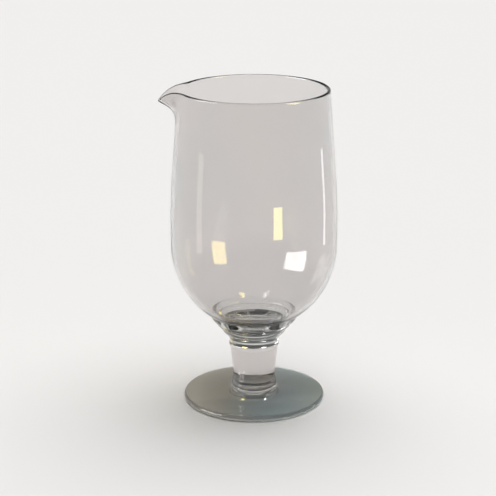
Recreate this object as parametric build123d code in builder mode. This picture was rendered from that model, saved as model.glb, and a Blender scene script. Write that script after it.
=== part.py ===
"""A footed mixing glass: a blown bowl with a pulled lip, three rings, a collar, a solid stem, a knop and a foot.

Lengths are in millimetres. The origin is the middle of the foot's flat underside, +Z is up, and the lip
points along -X. The pieces are gathers of hot glass fused face to face, so each one ends where the next begins.
"""

from build123d import *
import os
from math import asin, atan, cos, degrees, hypot, radians, sin, sqrt, tan

# ---- bowl ----
RIM_Z = 200.0  # height of the rim above the table
RIM_R = 46.5  # outer radius at the rim
BELLY_R = 51.9  # largest outer radius
TAPER_Z = 146.0  # the wall is straight from here up to the rim
BELLY_TOP_Z = 112.0  # the wall is upright from here down to BELLY_LOW_Z
BELLY_LOW_Z = 101.5
BASE_CURVE_R = 55.0  # radius of the outer curve from the belly to the rings
WALL = 2.2  # wall thickness
HEEL_TOP_Z = 56.0  # below here the bowl tapers to a heel that sits inside the upper and middle rings
HEEL_TOP_R = 26.4
HEEL_LOW_R = 17.0
BOWL_LOW_Z = 47.2  # flat underside of the heel, fused to the lower ring
FLOOR_Z = 50.2  # lowest point of the round-bottomed hollow
HOLLOW_SIDE_PULL = 0.55  # share of its height that the hollow's curve keeps nearly upright below the belly
HOLLOW_FLOOR_PULL = 0.57  # share of its radius that it keeps nearly level at the floor

# ---- pouring lip, pulled out of the rim ----
LIP_HALF_DEG = 28  # half of the angle of rim that it takes up
LIP_STEP_DEG = 2  # angle between the wall's sections across it
LIP_REACH = 11.2  # how far the tip stands out past the rim's circle
LIP_DROOP = 7.4  # how far the tip lies below the rim
LIP_TILT = 62.0  # lean of the tip from the upright, in degrees
LIP_POINT = 0.1  # roundness of the tip seen from above, as a share of the half angle
LIP_ROOT_Z = 176.0  # where the wall starts to bend
LIP_ROOT_PULL = 10.0  # length of wall that stays nearly straight at the root
LIP_TIP_PULL = 8.5  # length that stays nearly straight at the tip
LIP_THINNING = 0.4  # how much thinner the tip is than the wall
FUSE_TOLERANCE = 0.001  # edges of the wall and the lip that run this close are one edge

# ---- rings under the bowl: (height, radius) at the top and at the bottom of each ---
UPPER_RING = ((56.0, 27.9), (51.4, 24.8))
MIDDLE_RING = ((51.4, 24.6), (47.2, 20.9))
LOWER_RING = ((47.2, 20.7), (43.4, 18.2))
RING_BULGE = 0.5  # how far a ring swells past the straight line between its edges
COVE_TOP_R = 18.1  # the lowest ring runs down to the collar in a cove
COVE_LOW_R = 15.3
COVE_DEPTH = 0.5  # how far the cove is hollowed

# ---- collar, stem, knop and foot ----
COLLAR_TOP_Z = 37.2
COLLAR_LOW_Z = 34.6
COLLAR_EDGE_R = 15.4
COLLAR_BULGE = 0.35
STEM_TOP_R = 15.25
STEM_LOW_Z = 12.8
STEM_LOW_R = 13.2
STEM_WAIST = 0.2  # how far the stem's side is hollowed between its ends
KNOP_LOW_Z = 5.4
KNOP_TOP_R = 13.4
KNOP_LOW_R = 13.6
KNOP_BULGE = 0.8
FOOT_R = 44.7
FOOT_EDGE_Z = 3.1  # thickness of the foot at its rounded edge
FOOT_TOP_R = 14.0  # radius of the foot's face under the knop
FLARE_R = 18.0  # the flare under the knop dies into the foot here
FLARE_Z = 4.2

os.makedirs("parts", exist_ok=True)


def bulged(start, end, bulge):
    """The middle point of an arc from start to end that swells outwards by bulge, or inwards if it is negative."""
    run = hypot(end[0] - start[0], end[1] - start[1])
    across = ((end[1] - start[1]) / run, -(end[0] - start[0]) / run)
    side = 1 if across[0] > 0 else -1
    return (
        (start[0] + end[0]) / 2 + side * across[0] * bulge,
        (start[1] + end[1]) / 2 + side * across[1] * bulge,
    )


def ring_profile(top, bottom, bulge, bore_top=0, bore_low=0):
    """Half section of a ring: flat above and below, swelling at the side, with a tapered bore or solid.

    top and bottom are (height, radius). The bore is given by its radius at the top and at the bottom.
    """
    upper = (top[1], top[0])
    lower = (bottom[1], bottom[0])
    Polyline(lower, (bore_low, lower[1]), (bore_top, upper[1]), upper)
    ThreePointArc(upper, bulged(upper, lower, bulge), lower)


def heel_r(z):
    """Radius of the bowl's tapered heel."""
    return HEEL_LOW_R + (HEEL_TOP_R - HEEL_LOW_R) * (z - BOWL_LOW_Z) / (HEEL_TOP_Z - BOWL_LOW_Z)


# ---- the bowl's wall ----
lean = atan((BELLY_R - RIM_R) / (RIM_Z - (BELLY_TOP_Z + TAPER_Z) / 2))  # inward lean of the straight wall
taper_r = RIM_R + tan(lean) * (RIM_Z - TAPER_Z)
edge_z = RIM_Z - WALL / 2  # the rim is rounded above here
wall_across = WALL / cos(lean)  # wall thickness measured level


def wall_r(z):
    """Outer radius of the straight wall."""
    return RIM_R + tan(lean) * (RIM_Z - z)


def lip_share(angle):
    """How much of the lip's full reach the rim has at an angle in degrees from the lip's middle, from 0 to 1."""
    spread = sqrt((angle / LIP_HALF_DEG) ** 2 + LIP_POINT**2) - LIP_POINT
    widest = sqrt(1 + LIP_POINT**2) - LIP_POINT
    return max(0.0, 1 - spread / widest) ** 2


def wall_section(share):
    """Closed section of the wall above the lip's root, in a plane through the axis: x is the radius, y the height."""
    tilt = LIP_TILT * share - degrees(lean) * (1 - share)
    turn = radians(tilt) + lean
    thick = WALL - LIP_THINNING * share
    up = Vector(-sin(lean), cos(lean))
    along = Vector(sin(radians(tilt)), cos(radians(tilt)))
    inward = Vector(-along.Y, along.X)
    longer = WALL * tan(turn / 2)  # the inner face goes round the outside of the bend
    outer_root = Vector(wall_r(LIP_ROOT_Z), LIP_ROOT_Z)
    inner_root = Vector(wall_r(LIP_ROOT_Z) - wall_across, LIP_ROOT_Z)
    outer_edge = Vector(wall_r(edge_z) + LIP_REACH * share, edge_z - LIP_DROOP * share**2)
    inner_edge = outer_edge + inward * thick
    crest = (outer_edge + inner_edge) / 2 + along * (thick / 2)
    Bezier(outer_root, outer_root + up * LIP_ROOT_PULL, outer_edge - along * LIP_TIP_PULL, outer_edge)
    ThreePointArc(outer_edge, crest, inner_edge)
    Bezier(
        inner_edge,
        inner_edge - along * (LIP_TIP_PULL + longer),
        inner_root + up * (LIP_ROOT_PULL + longer),
        inner_root,
    )
    Line(inner_root, outer_root)


def plane_at(angle):
    """The upright plane through the axis at an angle in degrees from +X, with x outwards and y up."""
    return Plane(
        origin=(0, 0, 0),
        x_dir=(cos(radians(angle)), sin(radians(angle)), 0),
        z_dir=(sin(radians(angle)), -cos(radians(angle)), 0),
    )


base_x = BELLY_R - BASE_CURVE_R  # centre of the outer curve under the belly
low_turn = asin((BELLY_LOW_Z - HEEL_TOP_Z) / BASE_CURVE_R)  # angle that the curve turns through


def below_belly(angle):
    """A point on the outer curve under the belly, at an angle in radians below the level."""
    return (base_x + cos(angle) * BASE_CURVE_R, BELLY_LOW_Z - sin(angle) * BASE_CURVE_R)


# the bowl up to the lip's root
with BuildPart() as hollow:
    with BuildSketch(Plane.XZ):
        with BuildLine():
            low_edge = below_belly(low_turn)
            outer_root = (wall_r(LIP_ROOT_Z), LIP_ROOT_Z)
            inner_root = (wall_r(LIP_ROOT_Z) - wall_across, LIP_ROOT_Z)
            inner_taper_r = taper_r - wall_across
            inner_belly_r = BELLY_R - WALL
            Polyline((0, BOWL_LOW_Z), (HEEL_LOW_R, BOWL_LOW_Z), (HEEL_TOP_R, HEEL_TOP_Z), low_edge)
            ThreePointArc(low_edge, below_belly(low_turn / 2), (BELLY_R, BELLY_LOW_Z))
            Line((BELLY_R, BELLY_LOW_Z), (BELLY_R, BELLY_TOP_Z))
            TangentArc((BELLY_R, BELLY_TOP_Z), (taper_r, TAPER_Z), tangent=(0, 1))
            Polyline((taper_r, TAPER_Z), outer_root, inner_root, (inner_taper_r, TAPER_Z))
            TangentArc((inner_belly_r, BELLY_TOP_Z), (inner_taper_r, TAPER_Z), tangent=(0, 1))
            Line((inner_belly_r, BELLY_TOP_Z), (inner_belly_r, BELLY_LOW_Z))
            Bezier(
                (inner_belly_r, BELLY_LOW_Z),
                (inner_belly_r, BELLY_LOW_Z - HOLLOW_SIDE_PULL * (BELLY_LOW_Z - FLOOR_Z)),
                (HOLLOW_FLOOR_PULL * inner_belly_r, FLOOR_Z),
                (0, FLOOR_Z),
            )
            Line((0, FLOOR_Z), (0, BOWL_LOW_Z))
        make_face()
    revolve(axis=Axis.Z)

# the plain band of wall from one side of the lip round to the other
with BuildPart() as rim_band:
    with BuildSketch(plane_at(180 + LIP_HALF_DEG)):
        with BuildLine():
            wall_section(0)
        make_face()
    revolve(axis=Axis.Z, revolution_arc=360 - 2 * LIP_HALF_DEG)

with BuildPart() as lip:
    for angle in range(-LIP_HALF_DEG, LIP_HALF_DEG + 1, LIP_STEP_DEG):
        with BuildSketch(plane_at(180 + angle)):
            with BuildLine():
                wall_section(lip_share(angle))
            make_face()
    loft()

with BuildPart() as bowl:
    add(hollow.part.fuse(rim_band.part, lip.part, tol=FUSE_TOLERANCE))
bowl.part.label = "bowl"

with BuildPart() as upper_ring:
    with BuildSketch(Plane.XZ):
        with BuildLine():
            ring_profile(*UPPER_RING, RING_BULGE, heel_r(UPPER_RING[0][0]), heel_r(UPPER_RING[1][0]))
        make_face()
    revolve(axis=Axis.Z)
upper_ring.part.label = "upper_ring"

with BuildPart() as middle_ring:
    with BuildSketch(Plane.XZ):
        with BuildLine():
            ring_profile(*MIDDLE_RING, RING_BULGE, heel_r(MIDDLE_RING[0][0]), heel_r(MIDDLE_RING[1][0]))
        make_face()
    revolve(axis=Axis.Z)
middle_ring.part.label = "middle_ring"

with BuildPart() as lower_ring:
    with BuildSketch(Plane.XZ):
        with BuildLine():
            ring_profile(*LOWER_RING, RING_BULGE)
        make_face()
        with BuildLine():
            cove_top = (COVE_TOP_R, LOWER_RING[1][0])
            cove_low = (COVE_LOW_R, COLLAR_TOP_Z)
            ThreePointArc(cove_top, bulged(cove_top, cove_low, -COVE_DEPTH), cove_low)
            Polyline(cove_low, (0, COLLAR_TOP_Z), (0, cove_top[1]), cove_top)
        make_face()
    revolve(axis=Axis.Z)
lower_ring.part.label = "lower_ring"

with BuildPart() as collar:
    with BuildSketch(Plane.XZ):
        with BuildLine():
            ring_profile((COLLAR_TOP_Z, COLLAR_EDGE_R), (COLLAR_LOW_Z, COLLAR_EDGE_R), COLLAR_BULGE)
        make_face()
    revolve(axis=Axis.Z)
collar.part.label = "collar"

with BuildPart() as stem:
    with BuildSketch(Plane.XZ):
        with BuildLine():
            ring_profile((COLLAR_LOW_Z, STEM_TOP_R), (STEM_LOW_Z, STEM_LOW_R), -STEM_WAIST)
        make_face()
    revolve(axis=Axis.Z)
stem.part.label = "stem"

with BuildPart() as stem_knop:
    with BuildSketch(Plane.XZ):
        with BuildLine():
            ring_profile((STEM_LOW_Z, KNOP_TOP_R), (KNOP_LOW_Z, KNOP_LOW_R), KNOP_BULGE)
        make_face()
    revolve(axis=Axis.Z)
stem_knop.part.label = "stem_knop"

with BuildPart() as foot:
    with BuildSketch(Plane.XZ):
        with BuildLine():
            edge_low = Vector(FOOT_R - FOOT_EDGE_Z / 2, 0)
            edge_top = Vector(FOOT_R - FOOT_EDGE_Z / 2, FOOT_EDGE_Z)
            flare_top = Vector(FOOT_TOP_R, KNOP_LOW_Z)
            flare_end = Vector(FLARE_R, FLARE_Z)
            Line((0, 0), edge_low)
            ThreePointArc(edge_low, (FOOT_R, FOOT_EDGE_Z / 2), edge_top)
            Line(edge_top, flare_end)
            TangentArc(flare_end, flare_top, tangent=flare_end - edge_top)
            Polyline(flare_top, (0, KNOP_LOW_Z), (0, 0))
        make_face()
    revolve(axis=Axis.Z)
foot.part.label = "foot"

export_step(bowl.part, "parts/bowl.step")
export_step(upper_ring.part, "parts/upper_ring.step")
export_step(middle_ring.part, "parts/middle_ring.step")
export_step(lower_ring.part, "parts/lower_ring.step")
export_step(collar.part, "parts/collar.step")
export_step(stem.part, "parts/stem.step")
export_step(stem_knop.part, "parts/stem_knop.step")
export_step(foot.part, "parts/foot.step")
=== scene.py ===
"""A footed mixing glass, shown on a plain pale floor in soft studio light.

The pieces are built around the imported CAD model. Outlines are in millimetres, as (radius, height) from the
middle of the foot's underside, and become metres when their meshes are made.
"""

import math

import bmesh
import bpy
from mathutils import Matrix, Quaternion, Vector


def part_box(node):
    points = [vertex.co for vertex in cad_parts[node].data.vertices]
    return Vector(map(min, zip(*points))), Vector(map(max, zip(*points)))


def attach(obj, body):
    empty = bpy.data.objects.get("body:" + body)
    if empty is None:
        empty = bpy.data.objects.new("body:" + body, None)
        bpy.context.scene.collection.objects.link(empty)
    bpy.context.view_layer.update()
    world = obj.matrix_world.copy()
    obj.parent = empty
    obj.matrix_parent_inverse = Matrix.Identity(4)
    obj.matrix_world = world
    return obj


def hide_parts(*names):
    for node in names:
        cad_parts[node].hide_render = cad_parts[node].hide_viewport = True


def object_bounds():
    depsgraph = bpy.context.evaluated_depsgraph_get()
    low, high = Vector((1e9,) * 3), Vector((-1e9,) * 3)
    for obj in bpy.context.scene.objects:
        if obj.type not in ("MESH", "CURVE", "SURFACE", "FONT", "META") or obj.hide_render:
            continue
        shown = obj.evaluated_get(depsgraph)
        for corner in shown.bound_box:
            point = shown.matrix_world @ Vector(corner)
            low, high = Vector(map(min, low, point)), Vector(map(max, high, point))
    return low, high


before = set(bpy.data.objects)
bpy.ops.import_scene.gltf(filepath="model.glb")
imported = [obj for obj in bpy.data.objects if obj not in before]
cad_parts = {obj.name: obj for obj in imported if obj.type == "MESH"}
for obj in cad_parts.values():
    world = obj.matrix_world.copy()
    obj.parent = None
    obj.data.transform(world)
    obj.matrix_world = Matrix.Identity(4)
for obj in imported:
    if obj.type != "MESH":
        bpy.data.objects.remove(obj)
cad_low, cad_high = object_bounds()

MM = 0.001

# ---------------------------------------------------------------- the bowl's shape
RIM_R = 46.5  # outer radius at the rim
TAPER_Z = 146.0  # the wall is straight above here
BELLY_TOP_Z = 112.0  # and upright from here down to BELLY_LOW_Z
BELLY_LOW_Z = 101.5
BASE_CURVE_R = 55.0
WALL = 2.2
HEEL_R = (26.4, 17.0)  # the bowl's heel, inside the upper and middle rings, at the top and at the bottom
FLOOR_Z = 50.2
HOLLOW_SIDE_PULL = 0.55
HOLLOW_FLOOR_PULL = 0.57
LIP_HALF_DEG = 28.0
LIP_REACH = 11.2
LIP_DROOP = 7.4
LIP_TILT = 62.0
LIP_POINT = 0.1
LIP_ROOT_Z = 176.0
LIP_ROOT_PULL = 10.0
LIP_TIP_PULL = 8.5
LIP_THINNING = 0.4

# ---------------------------------------------------------------- radii of the fused pieces under it
UPPER_RING_R = (27.9, 24.8)  # at the top and at the bottom
MIDDLE_RING_R = (24.6, 20.9)
LOWER_RING_R = (20.7, 18.2)
RING_BULGE = 0.5
COVE_R = (18.1, 15.3)
COVE_TOP_Z = 43.4
COVE_DEPTH = 0.5
COLLAR_R = 15.4
COLLAR_BULGE = 0.35
STEM_R = (15.25, 13.2)
STEM_WAIST = 0.2
KNOP_R = (13.4, 13.6)
KNOP_BULGE = 0.8
FOOT_EDGE_Z = 3.1
FOOT_TOP_R = 14.0
FLARE_R = 18.0
FLARE_Z = 4.2
FLARE_PULLS = ((16.6, 4.27), (14.9, 4.6))  # these two points shape the flare between its ends

# ---------------------------------------------------------------- how finely the curves are divided
SWELL_STEPS = 12  # the side of a ring, the collar or the knop
STEM_STEPS = 24
LIP_WALL_STEPS = 24  # each face of the wall above the lip's root
RIM_STEPS = 12  # the rounded edge of the rim
TAPER_STEPS = 14
BASE_STEPS = 40  # the outer curve under the belly
HOLLOW_STEPS = 80
FOOT_STEPS = 20  # the foot's rounded edge, and again its top
FLARE_STEPS = 12
SEGMENTS = 256  # faces round the axis
LIP_FACE_DEG = 0.5  # angle of each face round the lip
SHARP = math.radians(28)  # edges sharper than this aren't smoothed

# ---------------------------------------------------------------- lengths too small to count
STEP_MM = 1e-3  # radii this close have no step between them, in millimetres
ON_LINE_MM = 1e-6  # a point this near to a joint lies on it, in millimetres
MERGE = 1e-7  # vertices this close become one, in metres
NO_LENGTH = 1e-8  # edges shorter than this are removed, in metres


def span(node):
    """Lowest and highest point of a CAD node, in millimetres."""
    low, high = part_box(node)
    return low.z / MM, high.z / MM


BOWL_LOW_Z, RIM_Z = span("bowl")
HEEL_TOP_Z = span("upper_ring")[1]
BELLY_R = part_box("bowl")[1].x / MM
FOOT_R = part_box("foot")[1].x / MM

# ---------------------------------------------------------------- curves


def line(start, end, steps):
    """Points after start up to and including end."""
    return [
        (start[0] + (end[0] - start[0]) * i / steps, start[1] + (end[1] - start[1]) * i / steps)
        for i in range(1, steps + 1)
    ]


def arc(centre, radius, first, last, steps):
    """Points on a circle from the angle first to the angle last, in radians, both included."""
    return [
        (
            centre[0] + radius * math.cos(first + (last - first) * i / steps),
            centre[1] + radius * math.sin(first + (last - first) * i / steps),
        )
        for i in range(steps + 1)
    ]


def swell(start, end, bulge, steps=SWELL_STEPS):
    """Points from start to end that swell outwards by bulge at the middle, both included."""
    run = math.hypot(end[0] - start[0], end[1] - start[1])
    across = ((end[1] - start[1]) / run, -(end[0] - start[0]) / run)
    side = 1 if across[0] > 0 else -1
    points = []
    for i in range(steps + 1):
        share = i / steps
        out = side * bulge * 4 * share * (1 - share)
        points.append(
            (
                start[0] + (end[0] - start[0]) * share + across[0] * out,
                start[1] + (end[1] - start[1]) * share + across[1] * out,
            )
        )
    return points


def bezier(a, b, c, d, steps):
    """Points on a cubic curve, both ends included."""
    points = []
    for i in range(steps + 1):
        t = i / steps
        weights = ((1 - t) ** 3, 3 * t * (1 - t) ** 2, 3 * t * t * (1 - t), t**3)
        points.append(tuple(sum(w * p[k] for w, p in zip(weights, (a, b, c, d))) for k in (0, 1)))
    return points


def off(point, way, far):
    """The point that lies far from another, in the direction way."""
    return (point[0] + way[0] * far, point[1] + way[1] * far)


# ---------------------------------------------------------------- the bowl's wall
lean = math.atan((BELLY_R - RIM_R) / (RIM_Z - (BELLY_TOP_Z + TAPER_Z) / 2))
edge_z = RIM_Z - WALL / 2
wall_across = WALL / math.cos(lean)
taper_curve_r = (TAPER_Z - BELLY_TOP_Z) / math.sin(lean)


def wall_r(z):
    """Outer radius of the straight wall."""
    return RIM_R + math.tan(lean) * (RIM_Z - z)


def lip_share(angle):
    """How much of the lip's reach the rim has at an angle in degrees from the lip's middle."""
    spread = math.sqrt((angle / LIP_HALF_DEG) ** 2 + LIP_POINT**2) - LIP_POINT
    widest = math.sqrt(1 + LIP_POINT**2) - LIP_POINT
    return max(0.0, 1 - spread / widest) ** 2


def rim_section(share):
    """Outer wall, rounded edge and inner wall above the lip's root."""
    tilt = math.radians(LIP_TILT * share) - lean * (1 - share)
    thick = WALL - LIP_THINNING * share
    along = (math.sin(tilt), math.cos(tilt))
    inward = (-along[1], along[0])
    up = (-math.sin(lean), math.cos(lean))
    longer = WALL * math.tan((tilt + lean) / 2)
    outer_root = (wall_r(LIP_ROOT_Z), LIP_ROOT_Z)
    inner_root = (outer_root[0] - wall_across, LIP_ROOT_Z)
    outer_edge = (wall_r(edge_z) + LIP_REACH * share, edge_z - LIP_DROOP * share**2)
    inner_edge = off(outer_edge, inward, thick)
    points = bezier(
        outer_root,
        off(outer_root, up, LIP_ROOT_PULL),
        off(outer_edge, along, -LIP_TIP_PULL),
        outer_edge,
        LIP_WALL_STEPS,
    )
    middle = ((outer_edge[0] + inner_edge[0]) / 2, (outer_edge[1] + inner_edge[1]) / 2)
    for i in range(1, RIM_STEPS):
        turn = math.pi * i / RIM_STEPS
        side = off(middle, inward, -thick / 2 * math.cos(turn))
        points.append(off(side, along, thick / 2 * math.sin(turn)))
    points += bezier(
        inner_edge,
        off(inner_edge, along, -(LIP_TIP_PULL + longer)),
        off(inner_root, up, LIP_ROOT_PULL + longer),
        inner_root,
        LIP_WALL_STEPS,
    )
    return points


def taper_arc(belly_r):
    """The gentle curve between the upright belly and the straight wall, for a belly of that radius."""
    return arc((belly_r - taper_curve_r, BELLY_TOP_Z), taper_curve_r, 0, lean, TAPER_STEPS)


base_x = BELLY_R - BASE_CURVE_R
low_turn = math.asin((BELLY_LOW_Z - HEEL_TOP_Z) / BASE_CURVE_R)
low_edge_r = base_x + BASE_CURVE_R * math.cos(low_turn)


def heel_r(z):
    """Radius of the bowl's tapered heel."""
    return HEEL_R[1] + (HEEL_R[0] - HEEL_R[1]) * (z - BOWL_LOW_Z) / (HEEL_TOP_Z - BOWL_LOW_Z)


def bowl_section(share):
    """The bowl's whole section, from the axis under it, up the outside, over the rim and down inside."""
    below = [(0, BOWL_LOW_Z), (HEEL_R[1], BOWL_LOW_Z), (HEEL_R[0], HEEL_TOP_Z)]
    below += arc((base_x, BELLY_LOW_Z), BASE_CURVE_R, -low_turn, 0, BASE_STEPS)
    below += taper_arc(BELLY_R)
    inner_r = BELLY_R - WALL
    inside = taper_arc(inner_r)[::-1]
    inside += bezier(
        (inner_r, BELLY_LOW_Z),
        (inner_r, BELLY_LOW_Z - HOLLOW_SIDE_PULL * (BELLY_LOW_Z - FLOOR_Z)),
        (HOLLOW_FLOOR_PULL * inner_r, FLOOR_Z),
        (0, FLOOR_Z),
        HOLLOW_STEPS,
    )
    return below + rim_section(share) + inside


# ---------------------------------------------------------------- meshes


def lip_angles():
    """Angles round the bowl in degrees from the lip's middle, closer together at the lip."""
    angles = [LIP_FACE_DEG * i for i in range(int(LIP_HALF_DEG / LIP_FACE_DEG) + 1)]
    start = angles[-1]
    steps = round((180 - start) * SEGMENTS / 360)
    angles += [start + (180 - start) * i / steps for i in range(1, steps + 1)]
    return [-a for a in angles[-2:0:-1]] + angles


def fused_at(start, end, joints):
    """Whether a step of a section lies on one of the joints, given as (start, end) of a straight line."""

    def lies_on(point, a, b):
        return math.dist(point, a) + math.dist(point, b) - math.dist(a, b) < ON_LINE_MM

    return any(lies_on(start, a, b) and lies_on(end, a, b) for a, b in joints)


def glass_mesh(name, sections, joints):
    """A closed mesh through (degrees, section) pairs, whose faces on the joints are marked as fused."""
    verts = []
    for angle, section in sections:
        turn = math.radians(angle)
        verts += [(r * math.cos(turn) * MM, r * math.sin(turn) * MM, z * MM) for r, z in section]
    size = len(sections[0][1])
    faces = []
    inner = []
    for j in range(len(sections)):
        k = (j + 1) % len(sections)
        section = sections[j][1]
        for i in range(size - 1):
            faces.append((j * size + i, k * size + i, k * size + i + 1, j * size + i + 1))
            inner.append(fused_at(section[i], section[i + 1], joints))
    mesh = bpy.data.meshes.new(name)
    mesh.from_pydata(verts, [], faces)
    mesh.polygons.foreach_set("material_index", [int(f) for f in inner])
    work = bmesh.new()
    work.from_mesh(mesh)
    bmesh.ops.remove_doubles(work, verts=work.verts, dist=MERGE)
    bmesh.ops.dissolve_degenerate(work, dist=NO_LENGTH, edges=work.edges)
    bmesh.ops.recalc_face_normals(work, faces=work.faces)
    work.to_mesh(mesh)
    work.free()
    mesh.polygons.foreach_set("use_smooth", [True] * len(mesh.polygons))
    mesh.set_sharp_from_angle(angle=SHARP)
    return mesh


def add_piece(name, node, mesh, glass):
    """Puts a mesh in the scene in place of a CAD node."""
    mesh.materials.append(glass)
    mesh.materials.append(joint)
    piece = bpy.data.objects.new(name, mesh)
    bpy.context.scene.collection.objects.link(piece)
    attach(piece, "root")
    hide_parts(node)
    return piece


def turned(name, node, outline, joints, glass):
    """A piece that is round about the axis."""
    sections = [(360 * i / SEGMENTS, outline) for i in range(SEGMENTS)]
    add_piece(name, node, glass_mesh(name, sections, joints), glass)


# ---------------------------------------------------------------- materials


def glass_material(name, tint, drift_colour, ripple, across=0.0, clear=1.0):
    """Clear glass: a tint that drifts at random, slow ripples from blowing and turning, and a trace of
    smears.

    The tint is partly the glass's own faint grey and partly painted shade that stands for the shaded room
    seen through the glass, darkest on the stem. The drift from the first colour to the second also follows
    X, by across in each metre, which paints a reflection of coloured surroundings: the first colour on the
    left, the second on the right. Glass with clear below 1 is a little milky.
    """
    mat = bpy.data.materials.new(name)
    mat.use_nodes = True
    tree = mat.node_tree
    nodes, links = tree.nodes, tree.links
    shader = nodes["Principled BSDF"]
    shader.inputs["Transmission Weight"].default_value = clear
    shader.inputs["IOR"].default_value = 1.5
    place = nodes.new("ShaderNodeTexCoord")
    # tint: the glass's faint grey, partly painted shade, and with across a painted reflection along X
    drift = nodes.new("ShaderNodeTexNoise")
    drift.inputs["Scale"].default_value = 14.0
    drift.inputs["Detail"].default_value = 2.0
    links.new(place.outputs["Object"], drift.inputs["Vector"])
    ramp = nodes.new("ShaderNodeValToRGB")
    ramp.color_ramp.elements[0].position = 0.35
    ramp.color_ramp.elements[1].position = 0.65
    ramp.color_ramp.elements[0].color = (*tint, 1)
    ramp.color_ramp.elements[1].color = (*drift_colour, 1)
    # painted reflection: with across above 0 the colour also drifts along X, from the first colour on the
    # left to the second on the right, standing for coloured surroundings mirrored in the glass
    sides = nodes.new("ShaderNodeSeparateXYZ")
    links.new(place.outputs["Object"], sides.inputs["Vector"])
    shift = nodes.new("ShaderNodeMath")
    shift.operation = "MULTIPLY_ADD"
    shift.inputs[1].default_value = across
    links.new(sides.outputs["X"], shift.inputs[0])
    links.new(drift.outputs["Fac"], shift.inputs[2])
    links.new(shift.outputs["Value"], ramp.inputs["Fac"])
    links.new(ramp.outputs["Color"], shader.inputs["Base Color"])
    # smears
    smear = nodes.new("ShaderNodeTexNoise")
    smear.inputs["Scale"].default_value = 60.0
    smear.inputs["Detail"].default_value = 5.0
    links.new(place.outputs["Object"], smear.inputs["Vector"])
    rough = nodes.new("ShaderNodeMapRange")
    rough.inputs["From Min"].default_value = 0.45
    rough.inputs["From Max"].default_value = 0.8
    rough.inputs["To Min"].default_value = 0.0
    rough.inputs["To Max"].default_value = 0.05
    links.new(smear.outputs["Fac"], rough.inputs["Value"])
    links.new(rough.outputs["Result"], shader.inputs["Roughness"])
    # ripples
    stretch = nodes.new("ShaderNodeMapping")
    stretch.inputs["Scale"].default_value = (1, 1, 0.35)
    links.new(place.outputs["Object"], stretch.inputs["Vector"])
    waves = nodes.new("ShaderNodeTexNoise")
    waves.inputs["Scale"].default_value = 45.0
    waves.inputs["Detail"].default_value = 1.0
    links.new(stretch.outputs["Vector"], waves.inputs["Vector"])
    bump = nodes.new("ShaderNodeBump")
    bump.inputs["Strength"].default_value = 1.0
    bump.inputs["Distance"].default_value = ripple
    links.new(waves.outputs["Fac"], bump.inputs["Height"])
    links.new(bump.outputs["Normal"], shader.inputs["Normal"])
    return mat


def joint_material():
    """Where two pieces are fused into one body of glass, the faces between them are clear."""
    mat = bpy.data.materials.new("fused_joint")
    mat.use_nodes = True
    mat.node_tree.nodes["Principled BSDF"].inputs["Alpha"].default_value = 0.0
    return mat


joint = joint_material()
BLOWN_RIPPLE = 0.00012  # height of the ripples in the blown wall, in metres
SOLID_RIPPLE = 0.00008  # and on the solid pieces
# these tints are partly the glass's faint grey and partly painted shade, darkened piece by piece to stand
# for the shaded room seen through it, the solid stem most
bowl_glass = glass_material("bowl_glass", (0.812, 0.787, 0.779), (0.778, 0.776, 0.773), BLOWN_RIPPLE)
ring_glass = glass_material("ring_glass", (0.77, 0.78, 0.765), (0.74, 0.745, 0.73), SOLID_RIPPLE)
stem_glass = glass_material("stem_glass", (0.645, 0.612, 0.605), (0.61, 0.572, 0.565), SOLID_RIPPLE)
# the foot's warm-to-cool drift along X is a painted reflection of coloured surroundings, over the drift at
# random
foot_glass = glass_material(
    "foot_glass", (0.95, 0.915, 0.85), (0.87, 0.94, 0.95), SOLID_RIPPLE, across=9.0, clear=0.87
)

# ---------------------------------------------------------------- the pieces
upper_z = span("upper_ring")
middle_z = span("middle_ring")
lower_z = span("lower_ring")
collar_z = span("collar")
stem_z = span("stem")
knop_z = span("stem_knop")
foot_z = span("foot")


def level(z, radius):
    """A level joint from the axis out to a radius, which is that of the narrower of the two pieces."""
    return ((0, z), (radius, z))


# Each piece is given the joints whose faces are to be clear on it. Two seams are left to show, for the look
# only: the underside of the bowl and of the middle ring keeps its glass face, and so does the lower ring's.
heel_joint = ((HEEL_R[1], BOWL_LOW_Z), (HEEL_R[0], HEEL_TOP_Z))
bowl_joint = level(HEEL_TOP_Z, low_edge_r)
upper_joint = level(upper_z[0], MIDDLE_RING_R[0])
middle_joint = level(middle_z[0], LOWER_RING_R[0])
lower_joint = level(lower_z[0], COVE_R[1])
collar_joint = level(collar_z[0], STEM_R[0])
stem_joint = level(stem_z[0], STEM_R[1])
knop_joint = level(knop_z[0], KNOP_R[1])


def capped(side, above, below, bore=(0, 0)):
    """Closes a side, listed upwards, with flat faces that step at the joints, in to the axis or a bore."""
    low, high = side[0], side[-1]
    under = [(bore[1], low[1])]
    if below and below < low[0] - STEP_MM:
        under.append((below, low[1]))
    over = [(bore[0], high[1])]
    if above and above < high[0] - STEP_MM:
        over.insert(0, (above, high[1]))
    return under + side + over + (under[:1] if bore[1] else [])


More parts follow.
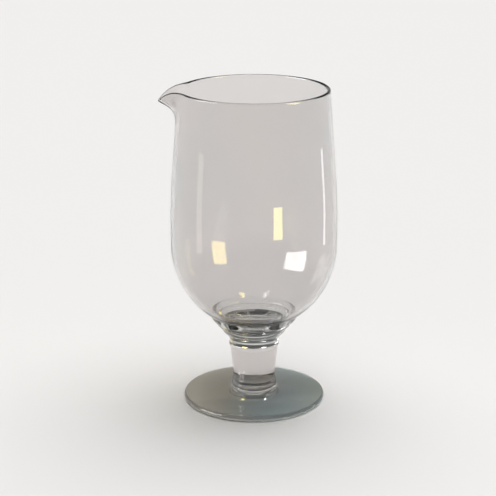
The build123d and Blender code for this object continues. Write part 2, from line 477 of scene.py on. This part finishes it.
bowl = add_piece(
    "mixing_bowl",
    "bowl",
    glass_mesh(
        "mixing_bowl",
        [(180 + a, bowl_section(lip_share(a))) for a in lip_angles()],
        (heel_joint, bowl_joint),
    ),
    bowl_glass,
)
turned(
    "ring_upper",
    "upper_ring",
    capped(
        swell((UPPER_RING_R[1], upper_z[0]), (UPPER_RING_R[0], upper_z[1]), RING_BULGE),
        low_edge_r,
        MIDDLE_RING_R[0],
        (HEEL_R[0], heel_r(upper_z[0])),
    ),
    (heel_joint, bowl_joint, upper_joint),
    ring_glass,
)
turned(
    "ring_middle",
    "middle_ring",
    capped(
        swell((MIDDLE_RING_R[1], middle_z[0]), (MIDDLE_RING_R[0], middle_z[1]), RING_BULGE),
        None,
        LOWER_RING_R[0],
        (heel_r(middle_z[1]), HEEL_R[1]),
    ),
    (heel_joint, upper_joint),
    ring_glass,
)
turned(
    "ring_lower",
    "lower_ring",
    capped(
        swell((COVE_R[1], lower_z[0]), (COVE_R[0], COVE_TOP_Z), -COVE_DEPTH)
        + swell((LOWER_RING_R[1], COVE_TOP_Z), (LOWER_RING_R[0], lower_z[1]), RING_BULGE),
        None,
        None,
    ),
    (middle_joint,),
    ring_glass,
)
turned(
    "collar_merese",
    "collar",
    capped(swell((COLLAR_R, collar_z[0]), (COLLAR_R, collar_z[1]), COLLAR_BULGE), COVE_R[1], STEM_R[0]),
    (lower_joint, collar_joint),
    ring_glass,
)
turned(
    "stem_solid",
    "stem",
    capped(swell((STEM_R[1], stem_z[0]), (STEM_R[0], stem_z[1]), -STEM_WAIST, STEM_STEPS), None, None),
    (collar_joint, stem_joint),
    stem_glass,
)
turned(
    "knop",
    "stem_knop",
    capped(swell((KNOP_R[1], knop_z[0]), (KNOP_R[0], knop_z[1]), KNOP_BULGE), STEM_R[1], None),
    (stem_joint, knop_joint),
    stem_glass,
)
edge_round = FOOT_EDGE_Z / 2
foot_side = [(FOOT_R - edge_round, 0)]
foot_side += arc((FOOT_R - edge_round, edge_round), edge_round, -math.pi / 2, math.pi / 2, FOOT_STEPS)[1:]
foot_side += line(foot_side[-1], (FLARE_R, FLARE_Z), FOOT_STEPS)
foot_side += bezier((FLARE_R, FLARE_Z), *FLARE_PULLS, (FOOT_TOP_R, foot_z[1]), FLARE_STEPS)[1:]
turned("disc_foot", "foot", capped(foot_side, KNOP_R[1], None), (knop_joint,), foot_glass)

# ---------------------------------------------------------------- floor, light and camera


def plain_material(name, colour, rough):
    """A matt surface of one colour, for the floor."""
    mat = bpy.data.materials.new(name)
    mat.use_nodes = True
    shader = mat.node_tree.nodes["Principled BSDF"]
    shader.inputs["Base Color"].default_value = (*colour, 1)
    shader.inputs["Roughness"].default_value = rough
    shader.inputs["Specular IOR Level"].default_value = 0.0
    return mat


def disc(name, radius, z, mat, segments=128):
    """A level disc that isn't part of the object."""
    mesh = bpy.data.meshes.new(name)
    rim = [
        (radius * math.cos(2 * math.pi * i / segments), radius * math.sin(2 * math.pi * i / segments), z)
        for i in range(segments)
    ]
    mesh.from_pydata(rim, [], [tuple(range(segments))])
    mesh.materials.append(mat)
    obj = bpy.data.objects.new(name, mesh)
    bpy.context.scene.collection.objects.link(obj)


FLOOR_RADIUS = 8.0  # metres
FLOOR_GAP = 0.0004  # the floor lies this far below the foot, so that their faces don't coincide
disc("floor", FLOOR_RADIUS, cad_low.z - FLOOR_GAP, plain_material("floor_pale", (0.80, 0.795, 0.79), 0.7))


def softbox(name, place, size, radiance, colour, aim, seen_in, roll=0.0, onto=None):
    """A rectangular light that faces aim and shows only in the reflections or refractions named in seen_in.

    It reaches every piece, or onto alone.
    """
    lamp = bpy.data.lights.new(name, "AREA")
    lamp.shape = "RECTANGLE"
    lamp.size, lamp.size_y = size
    lamp.energy = radiance * math.pi * size[0] * size[1]
    lamp.color = colour
    obj = bpy.data.objects.new(name, lamp)
    obj.location = place
    facing = (Vector(aim) - Vector(place)).to_track_quat("-Z", "Y")
    obj.rotation_euler = (facing @ Quaternion((0, 0, 1), roll)).to_euler()
    bpy.context.scene.collection.objects.link(obj)
    obj.visible_camera = False
    obj.visible_diffuse = False
    obj.visible_glossy = "glossy" in seen_in
    obj.visible_transmission = "transmission" in seen_in
    if onto:
        lit = bpy.data.collections.new(name + "_lit")
        lit.objects.link(onto)
        obj.light_linking.receiver_collection = lit


CREAM = (1.0, 0.85, 0.24)
WHITE = (0.97, 0.985, 1.0)
WARM = (1.0, 0.86, 0.76)
MIRRORED = ("glossy",)  # seen in reflections off the outside
THROUGH = ("transmission",)  # seen in rays that leave through a wall
BOTH = MIRRORED + THROUGH
aim = (0, 0, 0.1)  # the middle of the glass
softbox("window_left", (-1.12, -0.26, 0.61), (0.84, 0.50), 13, WHITE, aim, BOTH, roll=0.4)
softbox("cream_right", (1.02, -0.60, 0.50), (0.50, 0.62), 11, CREAM, aim, BOTH, roll=-0.3, onto=bowl)
softbox("top_white", (-0.3, 0.0, 1.2), (0.14, 0.14), 30, WHITE, aim, THROUGH)
softbox("top_cream", (0.3, 0.0, 1.2), (0.14, 0.14), 30, CREAM, aim, THROUGH)
low_aim = (0.014, -0.05, 0.1)  # on the lower bowl's front
softbox("low_cream", (0.1975, -0.338, 0.055), (0.078, 0.057), 12, CREAM, low_aim, MIRRORED, onto=bowl)
softbox("streak_left", (-0.37, -0.10, 0.06), (0.06, 0.13), 1.5, WARM, (-0.03, -0.04, 0.06), MIRRORED)
softbox("streak_right", (0.36, 0.10, 0.06), (0.03, 0.11), 4.0, WHITE, (0.04, -0.03, 0.06), MIRRORED)

# an even light from above, which lights the floor and the foot's milky glass but shows in no reflection
fill = bpy.data.lights.new("fill", "SUN")
fill.energy = 3.15
fill.angle = math.radians(70)
fill.color = (1.0, 0.985, 0.98)
ceiling = bpy.data.objects.new("fill", fill)
ceiling.rotation_euler = (math.radians(-12), math.radians(6), 0)
bpy.context.scene.collection.objects.link(ceiling)
ceiling.visible_glossy = False
ceiling.visible_transmission = False

# the room: pale at the horizon, like the floor, and darker above
HORIZON = (0.80, 0.79, 0.785, 1)
ABOVE = (0.10, 0.103, 0.10, 1)
ABOVE_FROM = 0.34  # upward part of the direction from which it is as dark as ABOVE
world = bpy.data.worlds.new("studio")
bpy.context.scene.world = world
world.use_nodes = True
tree = world.node_tree
sky = tree.nodes["Background"]
way = tree.nodes.new("ShaderNodeTexCoord")
split = tree.nodes.new("ShaderNodeSeparateXYZ")
tree.links.new(way.outputs["Generated"], split.inputs["Vector"])
fade = tree.nodes.new("ShaderNodeValToRGB")
fade.color_ramp.elements[0].position = 0.0
fade.color_ramp.elements[0].color = HORIZON
fade.color_ramp.elements[1].position = ABOVE_FROM
fade.color_ramp.elements[1].color = ABOVE
tree.links.new(split.outputs["Z"], fade.inputs["Fac"])
tree.links.new(fade.outputs["Color"], sky.inputs["Color"])
sky.inputs["Strength"].default_value = 1.0

CAMERA_PLACE = (0, -0.924, 0.3844)
CAMERA_DOWN = 0.3  # how far it looks down from the level, in radians
camera_data = bpy.data.cameras.new("camera")
camera_data.sensor_width = 36
camera_data.lens = 112.34
camera_data.shift_x = -0.0121
camera_data.clip_start = 0.05
camera = bpy.data.objects.new("camera", camera_data)
camera.location = CAMERA_PLACE
camera.rotation_euler = (math.pi / 2 - CAMERA_DOWN, 0, 0)
bpy.context.scene.collection.objects.link(camera)
bpy.context.scene.camera = camera
bpy.context.scene.view_settings.view_transform = "Standard"
# light passes through many faces of glass on its way
bpy.context.scene.cycles.max_bounces = 32
bpy.context.scene.cycles.transmission_bounces = 32
bpy.context.scene.cycles.transparent_max_bounces = 64
